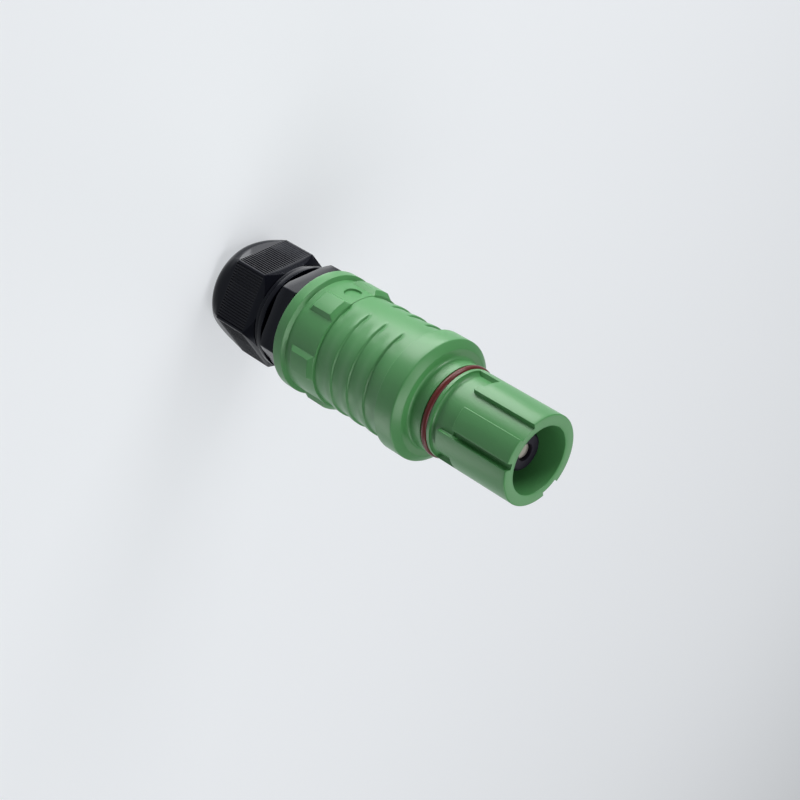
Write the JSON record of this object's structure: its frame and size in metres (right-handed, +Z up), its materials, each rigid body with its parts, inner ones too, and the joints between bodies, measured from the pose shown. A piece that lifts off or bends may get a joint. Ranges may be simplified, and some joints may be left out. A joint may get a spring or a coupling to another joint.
{
  "type": "single pole power connector",
  "caption": "Single pole line connector with a keyed bayonet nose, stepped round grip, rear flange and a cable gland with a ribbed dome nut, standing on its gland end.",
  "frame": {"origin": "middle of the dome nut's end ring, on the surface that the connector stands on", "axes": "+Z up the connector's axis, out of the nose; -Y towards the crown, the smooth strip with the recess, 6.6 degrees off it; +X to the right of someone who faces the crown"},
  "size_m": [0.0626, 0.0626, 0.202],
  "materials": {
    "green_plastic": "satin moulded",
    "seal_red": "smooth satin",
    "silver_plate": "silver plated, satin",
    "guard_black": "satin moulded",
    "spring_metal": "bright",
    "rubber_black": "matt",
    "steel": "plain",
    "ring_brass": "turned",
    "gland_black": "satin nylon",
    "cage_grey": "moulded"
  },
  "bodies": {
    "root": {"main_body": "green_plastic", "nose_seal": "seal_red", "contact_pin": "silver_plate", "finger_guard": "guard_black", "contact_band": "spring_metal", "pin_seal": "rubber_black", "index_pin": "steel", "thrust_washer": "steel", "disc_spring": "steel", "contact_lock_ring": "ring_brass", "wire_clamp_screws": "steel", "gland_gasket": "rubber_black", "gland_body": "gland_black", "gland_seal_insert": "rubber_black", "gland_clamp_cage": "cage_grey", "dome_nut": "gland_black"}
  },
  "joints": []
}
